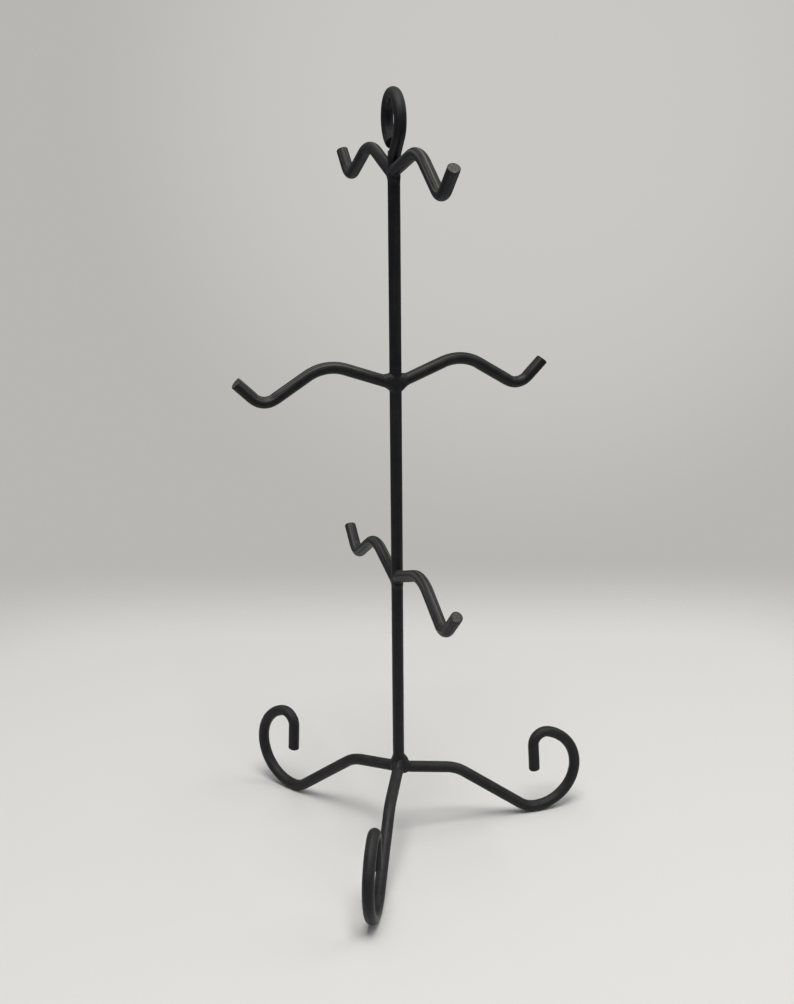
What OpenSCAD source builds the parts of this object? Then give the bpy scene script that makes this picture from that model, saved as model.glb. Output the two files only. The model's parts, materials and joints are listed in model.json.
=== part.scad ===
// Mug tree of welded round bar: an upright bent at its top into an eye to carry it by, three tiers of
// two opposed arms, and three scrolled legs. Every bar is one solid, and so is every weld.
// Units are millimetres. +Z is up and the origin is on the table, under the stem's axis. +X runs along
// the right-hand arm of the middle tier.

/* [Bar] */
// Diameter of the round bar that every piece is bent from
bar_d = 6.35; // [5:0.05:8]

/* [Stem] */
// Height of the lowest tier: where its arms' axes meet the stem's axis
tier_low_z = 156; // [120:1:190]
// Rise from the lowest tier to the middle one
tier_low_rise = 106; // [85:1:140]
// Rise from the middle tier to the top one
tier_top_rise = 108; // [85:1:140]
// Length of stem that stands below the legs' axes
stem_tail = 2.8; // [1:0.1:8]

/* [Eye] */
// Straight stem from the top tier to the bend that leans it over
eye_neck = 1.6; // [0:0.2:20]
// Angle that the stem leans over before the ring begins
eye_lean = 42; // [20:1:60]
// Radius of the leaning bend, on the bar's axis
eye_lean_r = 12.8; // [5:0.2:20]
// Straight bar between the leaning bend and the ring
eye_rise = 9.2; // [4:0.2:20]
// Radius of the ring, on the bar's axis
eye_r = 12.4; // [10:0.2:20]
// Angle that the ring turns through
eye_turn = 295; // [240:1:300]
// Direction that the stem leans in, seen from above
eye_azimuth = -95; // [-180:1:180]

/* [Arms] */
// Angle that an arm rises at where it leaves the stem
arm_rise_angle = 20; // [5:1:35]
// Straight bar from the stem's axis to the hump
arm_rise_run = 28; // [22:0.5:45]
// Radius of the hump, on the bar's axis
arm_hump_r = 23.2; // [10:0.2:30]
// Angle that the arm falls at beyond the hump
arm_fall_angle = 32; // [15:1:45]
// Straight bar between the hump and the crook
arm_fall_run = 20.2; // [12:0.2:40]
// Radius of the crook that a mug's handle hangs in, on the bar's axis
arm_crook_r = 9; // [5:0.5:12]
// Angle that the tip rises at
arm_tip_angle = 44.5; // [30:0.5:60]
// Straight length of the tip
arm_tip_run = 12.3; // [8:0.1:25]

/* [Hand setting] */
// Direction of the top tier's front arm, seen from above
top_front_azimuth = -92; // [-110:0.5:-70]
// Direction of the top tier's back arm
top_back_azimuth = 89.5; // [70:0.5:110]
// Direction of the middle tier's left arm
middle_left_azimuth = 175.5; // [160:0.5:200]
// Direction of the bottom tier's front arm
bottom_front_azimuth = -90.5; // [-110:0.5:-70]
// Direction of the bottom tier's back arm
bottom_back_azimuth = 89; // [70:0.5:110]
// How much lower than its partner the top tier's back arm is welded
top_back_drop = 2; // [0:0.1:4]
// How much lower than its partner the bottom tier's back arm is welded
bottom_back_drop = 3; // [0:0.1:4]
// How much longer the two front arms' tips are than the others
front_tip_extra = 3.3; // [0:0.1:8]
// Direction of the right leg
right_leg_azimuth = -2; // [-10:0.5:10]
// Direction of the back leg
back_leg_azimuth = 119; // [110:0.5:130]
// Direction of the front leg
front_leg_azimuth = -118.5; // [-130:0.5:-110]

/* [Legs] */
// Angle that a leg falls at where it leaves the stem
leg_root_angle = 10.5; // [0:0.5:20]
// Straight bar from the stem's axis to the knee
leg_root_run = 28.8; // [18:0.2:40]
// Radius of the knee, on the bar's axis
leg_knee_r = 26.7; // [15:0.1:40]
// Angle that the leg falls at beyond the knee
leg_fall_angle = 37; // [20:1:45]
// Straight bar between the knee and the foot
leg_fall_run = 43.4; // [25:0.2:60]
// Radius of the bend that brings the foot level, on the bar's axis
leg_foot_r = 17; // [10:0.5:30]
// Radius of the scroll, on the bar's axis
scroll_r = 23.7; // [16:0.1:30]
// Angle that the scroll turns through
scroll_turn = 163.5; // [140:0.5:170]
// Radius of the tight bend at the scroll's inner end, on the bar's axis
scroll_end_r = 7.2; // [5:0.1:12]
// Angle of that tight bend
scroll_end_turn = 110; // [80:1:115]
// Straight length at the scroll's inner end
scroll_tip_run = 15.4; // [8:0.1:20]

/* [Welds] */
// Gap between the stem and a bar's cut end, which the weld fills
root_gap = 0.4; // [0.2:0.1:1]
// Leg length of an arm's weld
arm_weld_leg = 2.6; // [1:0.1:4]
// Leg length of a leg's weld
leg_weld_leg = 3.4; // [1:0.1:4.5]
// How far a weld stands out beyond each side of its bar
weld_side = 0.8; // [0.2:0.1:2]
// Thickness of a weld's outer edge on the bar
weld_edge = 0.3; // [0.1:0.05:0.6]
// Gap between the welds of neighbouring bars
weld_gap = 0.8; // [0.4:0.1:2]

/* [Hidden] */
$fn = 64;
bar_r = bar_d / 2;
tier_middle_z = tier_low_z + tier_low_rise;
tier_top_z = tier_middle_z + tier_top_rise;
top_back_z = tier_top_z - top_back_drop;
bottom_back_z = tier_low_z - bottom_back_drop;

// Fall of a leg's axis from the stem to the table, which sets the height that the legs stand the hub at
leg_fall = leg_root_run * sin(leg_root_angle)
    + leg_knee_r * (cos(leg_root_angle) - cos(leg_fall_angle))
    + leg_fall_run * sin(leg_fall_angle)
    + leg_foot_r * (1 - cos(leg_fall_angle));
hub_z = bar_r + leg_fall;
stem_foot_z = hub_z - stem_tail;

// A bend schedule lists, for each stretch of a bar, [straight run, bend angle with up positive, bend radius].
// An arm's tip may be longer by some extra.
function arm_steps(tip_extra) = [
    [arm_rise_run, -(arm_rise_angle + arm_fall_angle), arm_hump_r],
    [arm_fall_run, arm_fall_angle + arm_tip_angle, arm_crook_r],
    [arm_tip_run + tip_extra, 0, 0]
];
leg_steps = [
    [leg_root_run, leg_root_angle - leg_fall_angle, leg_knee_r],
    [leg_fall_run, leg_fall_angle, leg_foot_r],
    [0, scroll_turn, scroll_r],
    [0, scroll_end_turn, scroll_end_r],
    [scroll_tip_run, 0, 0]
];
stem_steps = [
    [tier_top_z + eye_neck - stem_foot_z, -eye_lean, eye_lean_r],
    [eye_rise, eye_turn, eye_r]
];

// A bar draws down a little where it is bent
bend_thinning = 0.02;
// How far a straight reaches over the bend next to it
bend_lap = 0.2;
// Distance from a joint's centre that is surely outside its weld
joint_reach = 4 * bar_d;
// What an arm keeps clear of the stem where the stem leans out over its root
stem_clearance = 0.75 * root_gap;

// Distance along a bar's axis from the stem's axis to the bar's square-cut end, for a bar that leaves the
// stem at this angle from level: the nearer corner of the cut stands root_gap off the stem
function root_distance(angle) = (bar_r + root_gap + bar_r * abs(sin(angle))) / cos(angle);

// Half the angle from one direction round to another, anticlockwise seen from above
function halfway(from, to) = ((to - from + 360) % 360) / 2;

// Round bar of this radius bent in the XZ plane. It starts at the origin along +X and follows a bend
// schedule. Each straight laps over the slightly thinner bends that it meets, so the bar is one solid.
module bent_bar(steps, radius = bar_r, i = 0) {
    run = steps[i][0];
    turn = steps[i][1];
    bend_r = steps[i][2];
    lap_before = i > 0 ? bend_lap : 0;
    lap_after = turn != 0 ? bend_lap : 0;
    translate([-lap_before, 0, 0])
        rotate([0, 90, 0])
            cylinder(r = radius, h = lap_before + run + lap_after);
    translate([run, 0, 0]) {
        if (turn != 0)
            bend(turn, bend_r, radius - bend_thinning);
        if (i + 1 < len(steps))
            translate([bend_r * sin(abs(turn)), 0, sign(turn) * bend_r * (1 - cos(turn))])
                rotate([0, -turn, 0])
                    bent_bar(steps, radius, i + 1);
    }
}

// Bend from the origin, leaving along +X and turning up where the angle is positive
module bend(turn, bend_r, radius) {
    mirror([0, 0, turn < 0 ? 1 : 0])
        translate([0, 0, bend_r])
            rotate([90, 0, 0])
                rotate_extrude(angle = abs(turn), start = -90)
                    translate([bend_r, 0])
                        circle(r = radius);
}

// The same bar, cut square at its root so that it stands clear of the stem
module rooted_bar(steps, angle) {
    cut = root_distance(angle);
    rotate([0, -angle, 0])
        translate([cut, 0, 0])
            bent_bar([for (i = [0 : len(steps) - 1]) steps[i] - (i == 0 ? [cut, 0, 0] : [0, 0, 0])]);
}

// The stem in its place, grown where it cuts room for itself
module stem_bar(grow = 0) {
    translate([0, 0, stem_foot_z])
        rotate([0, 0, eye_azimuth])
            rotate([0, -90, 0])
                bent_bar(stem_steps, bar_r + grow);
}

module arm_bar(height, azimuth, tip_extra = 0) {
    difference() {
        translate([0, 0, height])
            rotate([0, 0, azimuth])
                rooted_bar(arm_steps(tip_extra), arm_rise_angle);
        stem_bar(stem_clearance);
    }
}

module leg_bar(azimuth) {
    translate([0, 0, hub_z])
        rotate([0, 0, azimuth])
            rooted_bar(leg_steps, -leg_root_angle);
}

module stem() {
    color("#242627")
        stem_bar();
}

module arm(height, azimuth, tip_extra = 0) {
    color("#2b2b2c")
        arm_bar(height, azimuth, tip_extra);
}

module leg(azimuth) {
    color("#2b2b2c")
        leg_bar(azimuth);
}

// Space that the weld of a bar along +X may fill round the stem: as wide as the bar and what its weld
// stands out at each side, and half a gap short of the planes midway to the neighbouring bars
module weld_space(to_left, to_right, low, high) {
    width = bar_d + 2 * weld_side;
    length = 2 * joint_reach;
    intersection() {
        translate([-joint_reach, -width / 2, low])
            cube([length, width, high - low]);
        rotate([0, 0, to_left])
            translate([-joint_reach, -length - weld_gap / 2, low])
                cube([length, length, high - low]);
        rotate([0, 0, -to_right])
            translate([-joint_reach, weld_gap / 2, low])
                cube([length, length, high - low]);
    }
}

// Weld metal round the root of a bar that leaves the stem at this angle from level, before the stem and
// the bar are taken out of it: a fillet that tapers along the bar and fills the root gap
module weld_blank(angle, size, to_left, to_right, below) {
    intersection() {
        rotate([0, 90 - angle, 0])
            cylinder(r1 = bar_d + size, r2 = bar_r + weld_edge, h = bar_r + size - weld_edge);
        weld_space(to_left, to_right, -below, joint_reach);
    }
}

// An arm shares its tier with one partner
module arm_weld(height, azimuth, partner) {
    color("#303031")
        difference() {
            translate([0, 0, height])
                rotate([0, 0, azimuth])
                    weld_blank(
                        arm_rise_angle, arm_weld_leg,
                        halfway(azimuth, partner), halfway(partner, azimuth), joint_reach
                    );
            stem_bar();
            arm_bar(height, azimuth);
        }
}

// A leg's weld stops just above the stem's foot
module leg_weld(azimuth, left_leg, right_leg) {
    color("#303031")
        difference() {
            translate([0, 0, hub_z])
                rotate([0, 0, azimuth])
                    weld_blank(
                        -leg_root_angle, leg_weld_leg,
                        halfway(azimuth, left_leg), halfway(right_leg, azimuth), stem_tail - weld_edge
                    );
            stem_bar();
            leg_bar(azimuth);
        }
}

stem();
arm(tier_top_z, top_front_azimuth, front_tip_extra);  // arm_top_front
arm(top_back_z, top_back_azimuth);  // arm_top_back
arm(tier_middle_z, 0);  // arm_middle_right
arm(tier_middle_z, middle_left_azimuth);  // arm_middle_left
arm(tier_low_z, bottom_front_azimuth, front_tip_extra);  // arm_bottom_front
arm(bottom_back_z, bottom_back_azimuth);  // arm_bottom_back
leg(right_leg_azimuth);  // leg_right
leg(back_leg_azimuth);  // leg_back
leg(front_leg_azimuth);  // leg_front
arm_weld(tier_top_z, top_front_azimuth, top_back_azimuth);  // weld_arm_top_front
arm_weld(top_back_z, top_back_azimuth, top_front_azimuth);  // weld_arm_top_back
arm_weld(tier_middle_z, 0, middle_left_azimuth);  // weld_arm_middle_right
arm_weld(tier_middle_z, middle_left_azimuth, 0);  // weld_arm_middle_left
arm_weld(tier_low_z, bottom_front_azimuth, bottom_back_azimuth);  // weld_arm_bottom_front
arm_weld(bottom_back_z, bottom_back_azimuth, bottom_front_azimuth);  // weld_arm_bottom_back
leg_weld(right_leg_azimuth, back_leg_azimuth, front_leg_azimuth);  // weld_leg_right
leg_weld(back_leg_azimuth, front_leg_azimuth, right_leg_azimuth);  // weld_leg_back
leg_weld(front_leg_azimuth, right_leg_azimuth, back_leg_azimuth);  // weld_leg_front
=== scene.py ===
"""Looks of a mug tree welded from round bar and painted satin black.

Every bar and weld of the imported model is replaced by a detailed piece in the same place: bars with
eased bends, drawn sections and sheared ends, and welds grown as fillets over the bars they join.
Lengths are metres. Angles are degrees until they are used.
"""

import json
import math

import bpy
import numpy as np
from mathutils import Matrix, Vector


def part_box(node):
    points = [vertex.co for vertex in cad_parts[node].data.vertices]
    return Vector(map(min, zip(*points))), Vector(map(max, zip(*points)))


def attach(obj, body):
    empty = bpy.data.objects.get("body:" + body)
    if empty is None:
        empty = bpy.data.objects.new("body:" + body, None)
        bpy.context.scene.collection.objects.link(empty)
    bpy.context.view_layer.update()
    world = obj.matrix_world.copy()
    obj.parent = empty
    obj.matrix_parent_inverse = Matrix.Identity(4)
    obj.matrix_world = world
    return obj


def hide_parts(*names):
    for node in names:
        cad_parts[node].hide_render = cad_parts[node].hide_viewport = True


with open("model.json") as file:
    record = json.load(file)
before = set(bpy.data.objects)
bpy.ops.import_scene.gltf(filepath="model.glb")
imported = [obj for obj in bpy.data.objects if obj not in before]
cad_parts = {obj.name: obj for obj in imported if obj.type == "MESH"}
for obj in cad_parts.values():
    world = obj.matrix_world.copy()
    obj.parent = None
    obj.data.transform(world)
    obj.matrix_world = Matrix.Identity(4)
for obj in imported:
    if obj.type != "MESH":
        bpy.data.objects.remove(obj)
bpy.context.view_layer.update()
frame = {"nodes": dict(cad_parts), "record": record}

MM = 0.001

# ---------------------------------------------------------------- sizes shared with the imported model
BAR_R = 3.175 * MM
STEM_TAIL = 2.8 * MM
ROOT_GAP = 0.4 * MM

# A bend schedule lists, for each stretch of a bar, (straight run, bend angle, bend radius)
ARM_RISE = 20.0
ARM_BENDS = [(28.0 * MM, -52.0, 23.2 * MM), (20.2 * MM, 76.5, 9.0 * MM)]
ARM_TIP_RUN = 12.3 * MM
FRONT_TIP_EXTRA = 3.3 * MM
LEG_RISE = -10.5
LEG_STEPS = [
    (28.8 * MM, -26.5, 26.7 * MM),
    (43.4 * MM, 37.0, 17.0 * MM),
    (0.0, 163.5, 23.7 * MM),
    (0.0, 110.0, 7.2 * MM),
    (15.4 * MM, 0.0, 0.0),
]
EYE_LEAN, EYE_LEAN_R, EYE_RISE = 42.0, 12.8 * MM, 9.2 * MM
EYE_TURN, EYE_R = 295.0, 12.4 * MM

# ---------------------------------------------------------------- how the bars are drawn, bent and cut
FINE_STEP = 0.1 * MM
RING_STEP = 0.6 * MM
AROUND = 40
BEND_EASE = 3.0 * MM
BEND_OVAL = 0.10
BEND_PINCH = 0.035
BAR_WAVE = 0.03 * MM
END_INSET = 0.25 * MM
END_EDGE = 0.35 * MM
END_TILT = 0.22 * MM
END_ROUGH = 0.10 * MM
END_BURR = 0.18 * MM

# ---------------------------------------------------------------- welds
WELD_REACH = 10.5 * MM
WELD_SINK = 0.04 * MM
WELD_TOE = 0.35 * MM
WELD_RIPPLE = 0.03 * MM
WELD_LUMPS = 0.07 * MM
WELD_UNEVEN = 0.15
# Fillets above and below each bar: (leg on the stem, leg on the bar)
WELD_FILLETS = {
    "top_front": ((0.6 * MM, 0.8 * MM), (0.7 * MM, 0.8 * MM)),
    "top_back": ((0.8 * MM, 1.0 * MM), (1.4 * MM, 1.4 * MM)),
    "middle_right": ((1.1 * MM, 2.4 * MM), (1.5 * MM, 3.6 * MM)),
    "middle_left": ((1.9 * MM, 3.0 * MM), (0.9 * MM, 2.4 * MM)),
    "bottom_front": ((0.4 * MM, 0.8 * MM), (1.2 * MM, 1.6 * MM)),
    "bottom_back": ((0.8 * MM, 1.0 * MM), (1.2 * MM, 1.2 * MM)),
    "right": ((4.7 * MM, 3.4 * MM), (1.6 * MM, 1.6 * MM)),
    "back": ((1.5 * MM, 1.4 * MM), (1.0 * MM, 1.0 * MM)),
    "front": ((3.0 * MM, 3.2 * MM), (1.6 * MM, 1.6 * MM)),
}


def smooth(low, high, x):
    """0 below low, 1 above high, and an S curve between them."""
    t = np.clip((x - low) / (high - low), 0.0, 1.0)
    return t * t * (3.0 - 2.0 * t)


def waves(points, wavelength, seed, count=14):
    """Smooth noise between about -1 and 1: plane waves of nearly one wavelength in random directions."""
    rng = np.random.default_rng(seed)
    ways = rng.normal(size=(count, 3))
    ways *= 2.0 * math.pi / wavelength * rng.uniform(0.7, 1.3, (count, 1)) / np.linalg.norm(ways, axis=1, keepdims=True)
    return np.sin(points @ ways.T + rng.uniform(0.0, 2.0 * math.pi, count)).sum(-1) / math.sqrt(count)


def new_piece(name, points, faces, attributes):
    """A smooth-shaded mesh object that rides on the stand, with a vector for each vertex in each attribute."""
    mesh = bpy.data.meshes.new(name)
    mesh.from_pydata(points.tolist(), [], faces)
    mesh.polygons.foreach_set("use_smooth", [True] * len(mesh.polygons))
    for title, values in attributes.items():
        layer = mesh.attributes.new(title, "FLOAT_VECTOR", "POINT")
        layer.data.foreach_set("vector", np.ascontiguousarray(values, dtype=np.float32).ravel())
    mesh.update()
    piece = bpy.data.objects.new(name, mesh)
    bpy.context.scene.collection.objects.link(piece)
    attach(piece, "root")
    return piece


# ---------------------------------------------------------------- bars
def bend(steps, rise):
    """Walks a bend schedule. Returns the distance along the bar, the place in the plane of the bends, the
    heading and the curvature, every FINE_STEP, with each bend eased in and out."""
    distance, heading = [0.0], [math.radians(rise)]
    for run, angle, radius in steps:
        for length, turn in ((run, 0.0), (radius * math.radians(abs(angle)), math.radians(angle))):
            if length > 0.0:
                distance.append(distance[-1] + length)
                heading.append(heading[-1] + turn)
    count = int(distance[-1] / FINE_STEP) + 1
    along = np.linspace(0.0, distance[-1], count)
    step = along[1]
    half = int(BEND_EASE / 2.0 / step)
    window = np.hanning(2 * half + 3)[1:-1]
    wide = np.arange(-half, count + half) * step
    angle = np.convolve(np.interp(wide, distance, heading), window / window.sum(), "valid")
    middle = (angle[1:] + angle[:-1]) / 2.0
    across = np.concatenate([[0.0], np.cumsum(np.cos(middle))]) * step
    up = np.concatenate([[0.0], np.cumsum(np.sin(middle))]) * step
    return along, across, up, angle, np.gradient(angle, step)


def sheared_end(x, y, seed):
    """How far the sheared face stands from a square cut, for places on the face in bar radii: tilted,
    rolled over where the blade went in, torn across and burred where it came out."""
    way = np.random.default_rng(seed).uniform(0.0, 2.0 * math.pi)
    blade = x * math.cos(way) + y * math.sin(way)
    face = np.stack([x, y, np.zeros_like(x)], axis=-1)
    torn = smooth(0.5, -0.1, blade) * waves(face, 0.55, seed + 1) + 0.5 * waves(face, 0.2, seed + 2)
    burr = smooth(0.55, 0.97, -blade) * smooth(0.8, 0.96, np.hypot(x, y))
    rolled = smooth(0.35, 1.0, blade) ** 2
    return -END_TILT * blade - END_BURR * 1.3 * rolled + END_BURR * burr + END_ROUGH * torn * (1.0 - rolled) * 0.4


def bar(node, steps, rise, origin, azimuth, first, seed, handled):
    """Replaces a CAD bar: a round bar from `first` along the bend schedule to its sheared end."""
    along, across, up, angle, curvature = bend(steps, rise)
    last = along[-1] - END_INSET
    rings = np.arange(first, last - END_EDGE, RING_STEP)
    edge = np.radians(np.linspace(0.0, 90.0, 6))
    place = np.concatenate([rings, last - END_EDGE + END_EDGE * np.sin(edge)])
    size = np.concatenate([np.ones(len(rings)), 1.0 - END_EDGE / BAR_R * (1.0 - np.cos(edge))])
    face = np.array([0.82, 0.72, 0.6, 0.48, 0.36, 0.24, 0.12])
    on_face = np.arange(len(place) + len(face)) >= len(rings)
    place = np.concatenate([place, np.full(len(face), last)])
    size = np.concatenate([size, face])

    turn = np.linspace(0.0, 2.0 * math.pi, AROUND, endpoint=False)
    c, s = np.cos(turn), np.sin(turn)
    tight = np.interp(place, along, curvature)[:, None] * BAR_R
    oval = BEND_OVAL * np.abs(tight)
    inner = np.clip(c * np.sign(tight), 0.0, 1.0) ** 3 * np.abs(tight)
    bar_space = np.stack([
        BAR_R * size[:, None] * c,
        BAR_R * size[:, None] * s,
        np.broadcast_to(place[:, None] + 0.7 * seed, (len(place), AROUND)),
    ], axis=-1)
    drawn = 0.5 + 0.25 * waves(bar_space * (1.0, 1.0, 0.12), 3.2 * MM, seed) + 0.25 * waves(bar_space, 9.0 * MM, seed + 50)
    radius = BAR_R * (1.0 - oval * c**2 + 0.25 * oval * s**2 - BEND_PINCH * inner) - BAR_WAVE * drawn
    radius = radius * size[:, None]
    shift = np.where(on_face, 1.0, 0.0)[:, None] * sheared_end(size[:, None] * c, size[:, None] * s, seed)
    shift = shift * smooth(0.0, 1.0, (place - rings[-1]) / (last - rings[-1]))[:, None]

    heading = np.interp(place, along, angle)[:, None]
    out = np.interp(place, along, across)[:, None] + shift * np.cos(heading) - radius * c * np.sin(heading)
    height = np.interp(place, along, up)[:, None] + shift * np.sin(heading) + radius * c * np.cos(heading)
    side = -radius * s
    ca, sa = math.cos(azimuth), math.sin(azimuth)
    points = np.stack([out * ca - side * sa, out * sa + side * ca, height], axis=-1) + np.array(origin)

    bare = handled * on_face[:, None] * smooth(0.98, 0.7, size)[:, None] * np.ones_like(radius)
    rubbed = handled * smooth(0.2, 0.33, tight) * smooth(0.1, 0.95, c)
    scuffed = smooth(0.9 * MM, 0.15 * MM, points[..., 2])
    state = np.stack([rubbed, bare, scuffed], axis=-1)

    total = len(place) * AROUND
    root, tip = total, total + 1
    ends = np.stack([points[0].mean(axis=0), points[-1].mean(axis=0)])
    end_space = np.stack([bar_space[0].mean(axis=0), bar_space[-1].mean(axis=0)])
    end_state = np.array([[0.0, 0.0, 0.0], [0.0, 1.0, 0.0]])
    # Share of the painted highlight streaks: full on the arms, faint on the stem and legs.
    painted_streak_share = np.full((total + 2, 3), 1.0 if handled else 0.15)
    faces = []
    for i in range(len(place) - 1):
        for k in range(AROUND):
            n = (k + 1) % AROUND
            faces.append((i * AROUND + k, i * AROUND + n, (i + 1) * AROUND + n, (i + 1) * AROUND + k))
    for k in range(AROUND):
        n = (k + 1) % AROUND
        faces.append((root, n, k))
        faces.append((tip, total - AROUND + k, total - AROUND + n))
    piece = new_piece(
        "bar_" + node,
        np.concatenate([points.reshape(-1, 3), ends]),
        faces,
        {
            "bar_space": np.concatenate([bar_space.reshape(-1, 3), end_space]),
            "bar_state": np.concatenate([state.reshape(-1, 3), end_state]),
            "bar_painted_streak_share": painted_streak_share,
        },
    )
    piece.data.materials.append(BAR_PAINT)
    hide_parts(node)
    return piece


def root_distance(rise):
    """Where a bar is cut, along its axis from the stem's axis, to leave ROOT_GAP beside the stem."""
    tilt = math.radians(rise)
    return (BAR_R + ROOT_GAP + BAR_R * abs(math.sin(tilt))) / math.cos(tilt)


# ---------------------------------------------------------------- welds
def smooth_min(a, b, width):
    h = np.clip(0.5 + 0.5 * (b - a) / width, 0.0, 1.0)
    return b + (a - b) * h - width * h * (1.0 - h)


def smooth_max(a, b, width):
    return -smooth_min(-a, -b, width)


class Joint:
    """The stem and the bars welded to it at one place. A bar is (height, azimuth, rise in radians), and its
    fillets are (leg on the stem, leg on the bar) above it and the same below it."""

    def __init__(self, bars, fillets, side, foot, seed):
        self.bars = bars
        self.fillets = fillets
        self.side = side
        self.foot = foot
        self.seed = seed

    def stem_gap(self, p):
        radial = np.hypot(p[..., 0], p[..., 1]) - BAR_R
        if self.foot is None:
            return radial
        return smooth_max(radial, self.foot - p[..., 2], 0.4 * MM)

    def bar_gap(self, p, bar_at):
        height, azimuth, rise = bar_at
        way = np.array([math.cos(azimuth) * math.cos(rise), math.sin(azimuth) * math.cos(rise), math.sin(rise)])
        q = p - np.array([0.0, 0.0, height])
        t = np.maximum(q @ way, 0.0)
        return np.linalg.norm(q - t[..., None] * way, axis=-1) - BAR_R

    def outside(self, p):
        """Roughly the distance outside the joint's surface: bars a hair inside their own skin, and weld
        metal across the corners between them."""
        stem = self.stem_gap(p)
        lumps = waves(p, 4.5 * MM, self.seed)
        skin = stem + WELD_SINK
        metal = None
        for bar_at, (above, below) in zip(self.bars, self.fillets):
            height, azimuth, _ = bar_at
            gap = self.bar_gap(p, bar_at)
            skin = np.minimum(skin, gap + WELD_SINK)
            under = smooth(-1.0 * MM, 1.0 * MM, height - p[..., 2])
            grow = 1.0 + WELD_UNEVEN * lumps
            on_stem = (above[0] * (1.0 - under) + below[0] * under) * grow
            on_bar = (above[1] * (1.0 - under) + below[1] * under) * grow
            corner = (stem / on_bar + gap / on_stem - 1.0) * on_stem * on_bar / (on_stem + on_bar)
            beside = np.abs(p[..., 1] * math.cos(azimuth) - p[..., 0] * math.sin(azimuth))
            limit = beside - BAR_R - self.side
            fillet = smooth_max(corner, limit, 0.8 * MM)
            metal = fillet if metal is None else np.minimum(metal, fillet)
        metal = metal + WELD_RIPPLE * waves(p, 1.3 * MM, self.seed + 1) + WELD_LUMPS * lumps
        return smooth_min(skin, metal, WELD_TOE)


def weld(node, joint, index, to_left, to_right, seed):
    """Replaces a CAD weld: the wedge of its joint's surface that belongs to one bar, closed at the middle."""
    height, azimuth, rise = joint.bars[index]
    columns = max(int(math.degrees(to_left + to_right) / 1.5), 8)
    rows = 120
    spin = azimuth + np.linspace(-to_right, to_left, columns + 1)
    lift = np.radians(np.linspace(-90.0, 90.0, rows + 1))[1:-1]
    ways = np.stack([
        np.cos(lift)[:, None] * np.cos(spin)[None, :],
        np.cos(lift)[:, None] * np.sin(spin)[None, :],
        np.broadcast_to(np.sin(lift)[:, None], (len(lift), len(spin))),
    ], axis=-1)
    ways = np.concatenate([ways.reshape(-1, 3), [[0.0, 0.0, -1.0], [0.0, 0.0, 1.0]]])
    centre = np.array([0.0, 0.0, height])
    low = np.full(len(ways), 0.5 * MM)
    high = np.full(len(ways), WELD_REACH)
    for reach in np.linspace(WELD_REACH, 1.0 * MM, 40):
        gap = joint.outside(centre + ways * reach)
        high = np.where(gap > 0.0, np.minimum(high, reach), high)
    low = np.maximum(high - WELD_REACH / 39.0 * 1.01, 0.5 * MM)
    for _ in range(16):
        middle = (low + high) / 2.0
        gap = joint.outside(centre + ways * middle[:, None])
        low = np.where(gap > 0.0, low, middle)
        high = np.where(gap > 0.0, middle, high)
    points = centre + ways * low[:, None]
    wide = columns + 1
    bottom, top, hub = len(points) - 2, len(points) - 1, len(points)
    faces = []
    last = (len(lift) - 1) * wide
    for i in range(len(lift) - 1):
        for k in range(columns):
            a = i * wide + k
            faces.append((a, a + 1, a + wide + 1, a + wide))
        faces.append((hub, i * wide, (i + 1) * wide))
        faces.append((hub, (i + 1) * wide + columns, i * wide + columns))
    for k in range(columns):
        faces.append((bottom, k + 1, k))
        faces.append((top, last + k, last + k + 1))
    faces.append((hub, bottom, 0))
    faces.append((hub, columns, bottom))
    faces.append((hub, last, top))
    faces.append((hub, top, last + columns))
    points = np.concatenate([points, [centre]])
    space = points - centre + np.array([0.0, 0.0, 0.7 * seed])
    piece = new_piece(
        "bead_" + node, points, faces,
        {"bar_space": space, "bar_state": np.zeros_like(space), "bar_painted_streak_share": np.zeros_like(space)},
    )
    piece.data.materials.append(WELD_PAINT)
    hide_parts(node)
    return piece


# ---------------------------------------------------------------- materials
class Nodes:
    """Short hand for building a node material."""

    def __init__(self, name):
        self.material = bpy.data.materials.new(name)
        self.material.use_nodes = True
        self.tree = self.material.node_tree
        self.shader = self.tree.nodes["Principled BSDF"]

    def put(self, socket, value):
        if isinstance(value, bpy.types.NodeSocket):
            self.tree.links.new(value, socket)
        else:
            socket.default_value = value

    def node(self, kind, inputs, **settings):
        made = self.tree.nodes.new("ShaderNode" + kind)
        for key, value in settings.items():
            setattr(made, key, value)
        for key, value in inputs.items():
            self.put(made.inputs[key], value)
        return made

    def attribute(self, name):
        return self.node("Attribute", {}, attribute_name=name).outputs["Vector"]

    def split(self, vector):
        parts = self.node("SeparateXYZ", {"Vector": vector}).outputs
        return parts["X"], parts["Y"], parts["Z"]

    def stretched(self, vector, scale):
        return self.node("Mapping", {"Vector": vector, "Scale": scale}).outputs["Vector"]

    def noise(self, vector, size, detail=2.0, rough=0.5):
        made = self.node("TexNoise", {"Vector": vector, "Scale": 1.0 / size, "Detail": detail, "Roughness": rough})
        return made.outputs["Fac"]

    def remap(self, value, low, high, to_low=0.0, to_high=1.0):
        made = self.node("MapRange", {
            "Value": value, "From Min": low, "From Max": high, "To Min": to_low, "To Max": to_high,
        }, interpolation_type="SMOOTHSTEP")
        return made.outputs["Result"]

    def math(self, operation, a, b=0.0):
        made = self.tree.nodes.new("ShaderNodeMath")
        made.operation = operation
        self.put(made.inputs[0], a)
        self.put(made.inputs[1], b)
        return made.outputs[0]

    def mix(self, factor, a, b):
        made = self.node("Mix", {}, data_type="RGBA")
        self.put(made.inputs[0], factor)
        self.put(made.inputs[6], a)
        self.put(made.inputs[7], b)
        return made.outputs[2]

    def bump(self, height, distance, strength=1.0, after=None):
        inputs = {"Height": height, "Distance": distance, "Strength": strength}
        if after is not None:
            inputs["Normal"] = after
        return self.node("Bump", inputs).outputs["Normal"]


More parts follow.
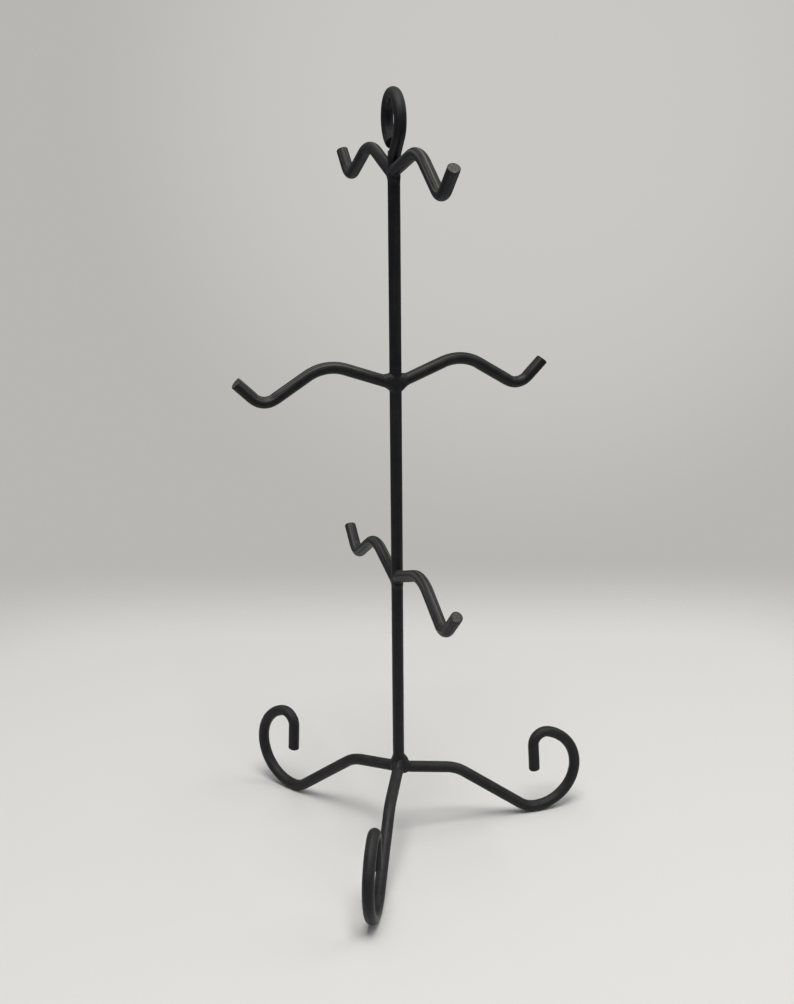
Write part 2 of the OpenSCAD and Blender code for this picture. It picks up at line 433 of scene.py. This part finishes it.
def paint(name, black, warm, dust_and_top_light_colour):
    """Satin black over drawn bar: lengthwise lines and orange peel in the paint, nibs, a pale dusty film on
    what faces up that is also painted light on the upper sides, painted highlight streaks there, and
    polish or thin paint where the part is handled, cut or stands."""
    n = Nodes(name)
    space = n.attribute("bar_space")
    rubbed, bare, scuffed = n.split(n.attribute("bar_state"))
    lines = n.noise(n.stretched(space, (1.0, 1.0, 0.018)), 0.32 * MM, 3.0, 0.6)
    broad_lines = n.noise(n.stretched(space, (1.0, 1.0, 0.03)), 1.3 * MM, 2.0, 0.5)
    peel = n.noise(space, 0.9 * MM, 2.0, 0.45)
    mottle = n.noise(space, 6.0 * MM, 3.0, 0.6)
    grit = n.noise(space, 0.16 * MM, 2.0, 0.6)
    worn = n.noise(space, 0.7 * MM, 3.0, 0.6)
    nibs = n.node("TexVoronoi", {"Vector": space, "Scale": 1.0 / (3.2 * MM)}).outputs["Distance"]
    nib = n.remap(nibs, 0.07, 0.03)
    # Painted highlight: thin pale lengthwise streaks on what faces up, standing in for glints of light on the drawn
    # lines.
    painted_highlight_streaks = n.remap(n.noise(n.stretched(space, (1.0, 1.0, 0.012)), 1.0 * MM, 1.0, 0.5), 0.54, 0.66)
    painted_highlight_streaks = n.math("MULTIPLY", painted_highlight_streaks, n.split(n.attribute("bar_painted_streak_share"))[0])

    facing_up = n.split(n.node("NewGeometry", {}).outputs["Normal"])[2]
    # lit marks what faces up. The pale film mixed in there is partly settled dust and partly painted light, lightening
    # the upper sides as if lit from above.
    lit = n.remap(facing_up, -0.05, 0.75)
    dust_and_painted_top_light = n.math("MULTIPLY", lit, n.remap(mottle, 0.35, 0.7, 0.6, 1.0))
    colour = n.mix(n.remap(mottle, 0.3, 0.7), black, warm)
    colour = n.mix(n.math("MULTIPLY", dust_and_painted_top_light, 0.145), colour, dust_and_top_light_colour)
    # Painted highlight streaks turn the colour pale grey on what faces up.
    colour = n.mix(n.math("MULTIPLY", n.math("MULTIPLY", lit, painted_highlight_streaks), 0.5), colour, (0.16, 0.158, 0.15, 1.0))
    colour = n.mix(n.math("MULTIPLY", n.remap(broad_lines, 0.5, 0.75), 0.22), colour, (0.035, 0.0345, 0.0335, 1.0))
    colour = n.mix(n.math("MULTIPLY", rubbed, n.remap(lines, 0.3, 0.7, 0.05, 0.2)), colour, (0.07, 0.069, 0.066, 1.0))
    colour = n.mix(n.math("MULTIPLY", bare, n.remap(worn, 0.42, 0.6, 0.12, 0.6)), colour, (0.14, 0.14, 0.136, 1.0))
    colour = n.mix(n.math("MULTIPLY", scuffed, n.remap(grit, 0.45, 0.6, 0.1, 0.7)), colour, (0.12, 0.118, 0.115, 1.0))
    n.put(n.shader.inputs["Base Color"], colour)

    roughness = n.remap(broad_lines, 0.3, 0.7, 0.38, 0.56)
    roughness = n.math("ADD", roughness, n.math("MULTIPLY", dust_and_painted_top_light, 0.10))
    roughness = n.math("SUBTRACT", roughness, n.math("MULTIPLY", rubbed, 0.12))
    n.put(n.shader.inputs["Roughness"], roughness)

    normal = n.bump(lines, 0.016 * MM)
    normal = n.bump(broad_lines, 0.2 * MM, 1.0, normal)
    normal = n.bump(peel, 0.03 * MM, 1.0, normal)
    normal = n.bump(grit, 0.004 * MM, 1.0, normal)
    normal = n.bump(nib, 0.05 * MM, 1.0, normal)
    n.put(n.shader.inputs["Normal"], normal)
    n.shader.inputs["Specular IOR Level"].default_value = 0.22
    return n.material


# The last colour of each paint is the pale film of dust and painted top light on what faces up.
BAR_PAINT = paint("satin_bar_paint", (0.0076, 0.0080, 0.0098, 1.0), (0.0122, 0.0121, 0.0125, 1.0), (0.13, 0.127, 0.119, 1.0))
WELD_PAINT = paint("satin_weld_paint", (0.0076, 0.0080, 0.0098, 1.0), (0.0140, 0.0139, 0.0143, 1.0), (0.13, 0.127, 0.119, 1.0))

# ---------------------------------------------------------------- the stand
mounts = {m["name"]: m for m in frame["record"]["mounts"]}
ARMS = ["top_front", "top_back", "middle_right", "middle_left", "bottom_front", "bottom_back"]
TIERS = [("top_front", "top_back"), ("middle_right", "middle_left"), ("bottom_front", "bottom_back")]
LEGS = ["right", "back", "front"]


def direction_of(node):
    """Direction that a CAD node lies in from the stem, seen from above."""
    mesh = frame["nodes"][node].data
    middle = sum((f.center * f.area for f in mesh.polygons), Vector()) / sum(f.area for f in mesh.polygons)
    return math.atan2(middle.y, middle.x)


arm_at = {}
for i, name in enumerate(ARMS):
    tip_run = ARM_TIP_RUN + (FRONT_TIP_EXTRA if name.endswith("front") else 0.0)
    steps = ARM_BENDS + [(tip_run, 0.0, 0.0)]
    along, _, up, _, _ = bend(steps, ARM_RISE)
    mount = mounts["tip_" + name]
    height = mount["pos_m"][2] - np.interp(along[-1] - tip_run / 2.0, along, up)
    azimuth = math.atan2(mount["axis"][1], mount["axis"][0])
    arm_at[name] = (height, azimuth, math.radians(ARM_RISE))
    bar("arm_" + name, steps, ARM_RISE, (0.0, 0.0, height), azimuth, root_distance(ARM_RISE), 3 + i, True)

stem_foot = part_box("stem")[0].z
hub = stem_foot + STEM_TAIL
leg_at = {}
for i, name in enumerate(LEGS):
    azimuth = direction_of("leg_" + name)
    leg_at[name] = (hub, azimuth, math.radians(LEG_RISE))
    bar("leg_" + name, LEG_STEPS, LEG_RISE, (0.0, 0.0, hub), azimuth, root_distance(LEG_RISE), 13 + i, False)

eye = mounts["carrying_eye"]
eye_azimuth = math.atan2(eye["axis"][1], eye["axis"][0]) + math.pi / 2.0
lean = math.radians(EYE_LEAN)
eye_rise = EYE_LEAN_R * math.sin(lean) + EYE_RISE * math.cos(lean) + EYE_R * math.sin(lean)
straight = eye["pos_m"][2] - eye_rise - stem_foot
stem_steps = [(straight, -EYE_LEAN, EYE_LEAN_R), (EYE_RISE, EYE_TURN, EYE_R)]
bar("stem", stem_steps, 90.0, (0.0, 0.0, stem_foot), eye_azimuth, 0.0, 23, False)


def half_turn(start, end):
    return (end - start) % (2.0 * math.pi) / 2.0


TIER_SIDES = [-0.25 * MM, 0.15 * MM, -0.25 * MM]
for i, (pair, side) in enumerate(zip(TIERS, TIER_SIDES)):
    joint = Joint([arm_at[name] for name in pair], [WELD_FILLETS[name] for name in pair], side, None, 31 + i)
    to_left = half_turn(arm_at[pair[0]][1], arm_at[pair[1]][1])
    weld("weld_arm_" + pair[0], joint, 0, to_left, math.pi - to_left, 41 + i)
    weld("weld_arm_" + pair[1], joint, 1, math.pi - to_left, to_left, 51 + i)

joint = Joint([leg_at[name] for name in LEGS], [WELD_FILLETS[name] for name in LEGS], 0.1 * MM, stem_foot, 37)
for i, name in enumerate(LEGS):
    after, before = LEGS[(i + 1) % 3], LEGS[i - 1]
    to_left = half_turn(leg_at[name][1], leg_at[after][1])
    to_right = half_turn(leg_at[before][1], leg_at[name][1])
    weld("weld_leg_" + name, joint, i, to_left, to_right, 61 + i)

# ---------------------------------------------------------------- floor, light and camera
FLOOR_COLOUR = (0.72, 0.716, 0.70, 1.0)
FLOOR_FULL = 0.28
FLOOR_GONE = 0.46
FLOOR_SQUARENESS = 6.0
WALL_COLOUR = (0.478, 0.471, 0.450, 1.0)
# Tone of the painted pool of light on the backdrop, high up ahead of the camera.
WALL_PAINTED_LIGHT = (0.585, 0.578, 0.552, 1.0)
ROOM_LOW = (0.21, 0.215, 0.24, 1.0)
ROOM_HIGH = (0.24, 0.245, 0.25, 1.0)


def make_floor():
    """A pale floor that fades into the wall's tone all round the part."""
    bpy.ops.mesh.primitive_plane_add(size=2.0, rotation=(0.0, 0.0, math.radians(CAMERA_HEADING)))
    floor = bpy.context.object
    floor.name = "floor"
    n = Nodes("pale_floor")
    x, y, _ = n.split(n.node("TexCoord", {}).outputs["Object"])
    x, y = (n.math("POWER", n.math("ABSOLUTE", v), FLOOR_SQUARENESS) for v in (x, y))
    far = n.math("POWER", n.math("ADD", x, y), 1.0 / FLOOR_SQUARENESS)
    n.put(n.shader.inputs["Base Color"], FLOOR_COLOUR)
    n.shader.inputs["Roughness"].default_value = 0.65
    n.shader.inputs["Specular IOR Level"].default_value = 0.2
    clear = n.node("BsdfTransparent", {}).outputs["BSDF"]
    both = n.node("MixShader", {0: n.remap(far, FLOOR_FULL, FLOOR_GONE), 1: n.shader.outputs["BSDF"], 2: clear})
    n.put(n.tree.nodes["Material Output"].inputs["Surface"], both.outputs[0])
    floor.data.materials.append(n.material)


def make_world():
    """A plain wall's tone all round, a little brighter high up ahead of the camera where a pool of light is
    painted on it, and a dimmer and cooler room for the part to reflect."""
    world = bpy.data.worlds.new("studio")
    bpy.context.scene.world = world
    world.use_nodes = True
    tree = world.node_tree

    def make(kind):
        return tree.nodes.new("ShaderNode" + kind)

    place = make("TexCoord").outputs["Generated"]
    toward = make("VectorMath")
    toward.operation = "DOT_PRODUCT"
    tree.links.new(place, toward.inputs[0])
    glow, down = math.radians(GLOW_HEADING), math.radians(GLOW_DOWN)
    toward.inputs[1].default_value = (math.cos(glow) * math.cos(down), math.sin(glow) * math.cos(down), -math.sin(down))
    # Painted pool of light: the backdrop the camera sees turns brighter within GLOW_WIDE of the GLOW direction.
    near = make("MapRange")
    near.interpolation_type = "SMOOTHSTEP"
    near.inputs["From Min"].default_value = math.cos(math.radians(GLOW_WIDE))
    near.inputs["From Max"].default_value = 1.0
    tree.links.new(toward.outputs["Value"], near.inputs["Value"])
    tone = make("Mix")
    tone.data_type = "RGBA"
    tone.inputs[6].default_value = WALL_COLOUR
    tone.inputs[7].default_value = WALL_PAINTED_LIGHT
    tree.links.new(near.outputs["Result"], tone.inputs[0])
    wall = tree.nodes["Background"]
    tree.links.new(tone.outputs[2], wall.inputs["Color"])
    height = make("SeparateXYZ")
    tree.links.new(place, height.inputs["Vector"])
    rise = make("MapRange")
    rise.interpolation_type = "SMOOTHSTEP"
    rise.inputs["From Min"].default_value = 0.1
    rise.inputs["From Max"].default_value = 0.95
    tree.links.new(height.outputs["Z"], rise.inputs["Value"])
    dim = make("Mix")
    dim.data_type = "RGBA"
    dim.inputs[6].default_value = ROOM_LOW
    dim.inputs[7].default_value = ROOM_HIGH
    tree.links.new(rise.outputs["Result"], dim.inputs[0])
    room = make("Background")
    tree.links.new(dim.outputs[2], room.inputs["Color"])
    seen = make("LightPath").outputs["Is Camera Ray"]
    both = make("MixShader")
    tree.links.new(seen, both.inputs[0])
    tree.links.new(room.outputs[0], both.inputs[1])
    tree.links.new(wall.outputs[0], both.inputs[2])
    tree.links.new(both.outputs[0], tree.nodes["World Output"].inputs["Surface"])


def make_light(name, place, aim, size, power, colour):
    data = bpy.data.lights.new(name, "AREA")
    data.shape = "SQUARE"
    data.size = size
    data.energy = power
    data.color = colour
    light = bpy.data.objects.new(name, data)
    light.location = place
    light.rotation_euler = (Vector(aim) - Vector(place)).to_track_quat("-Z", "Y").to_euler()
    bpy.context.scene.collection.objects.link(light)


CAMERA_AWAY = 763.2 * MM
CAMERA_HEIGHT = 439.84 * MM
CAMERA_AZIMUTH = -110.15
CAMERA_HEADING = 69.83
CAMERA_DOWN = 17.57
CAMERA_ROLL = -0.46
CAMERA_LENS = 54.19
# Where the painted pool of light on the backdrop lies, and how wide it is.
GLOW_HEADING = CAMERA_HEADING - 5.0
GLOW_DOWN = 3.0
GLOW_WIDE = 17.0


def make_camera():
    data = bpy.data.cameras.new("camera")
    data.lens = CAMERA_LENS
    data.clip_start = 0.01
    data.clip_end = 20.0
    camera = bpy.data.objects.new("camera", data)
    heading, down, roll = (math.radians(a) for a in (CAMERA_HEADING, CAMERA_DOWN, CAMERA_ROLL))
    ahead = Vector((math.cos(heading) * math.cos(down), math.sin(heading) * math.cos(down), -math.sin(down)))
    right = Vector((math.sin(heading), -math.cos(heading), 0.0))
    up = right.cross(ahead)
    right, up = (right * math.cos(roll) + up * math.sin(roll), up * math.cos(roll) - right * math.sin(roll))
    turned = Matrix((right, up, -ahead)).transposed().to_4x4()
    azimuth = math.radians(CAMERA_AZIMUTH)
    place = (CAMERA_AWAY * math.cos(azimuth), CAMERA_AWAY * math.sin(azimuth), CAMERA_HEIGHT)
    camera.matrix_world = Matrix.Translation(place) @ turned
    bpy.context.scene.collection.objects.link(camera)
    bpy.context.scene.camera = camera


make_floor()
make_world()
make_light("softbox", (-0.14, -0.60, 1.90), (0.0, 0.0, 0.1), 0.9, 27.0, (1.0, 0.985, 0.955))
make_light("top_softbox", (0.1, 0.2, 1.9), (0.0, 0.0, 0.1), 1.0, 4.5, (1.0, 0.985, 0.955))
make_light("side_softbox", (1.2, -0.10, 1.3), (0.0, 0.0, 0.1), 0.9, 4.5, (1.0, 0.985, 0.955))
make_camera()
bpy.context.scene.view_settings.view_transform = "Standard"
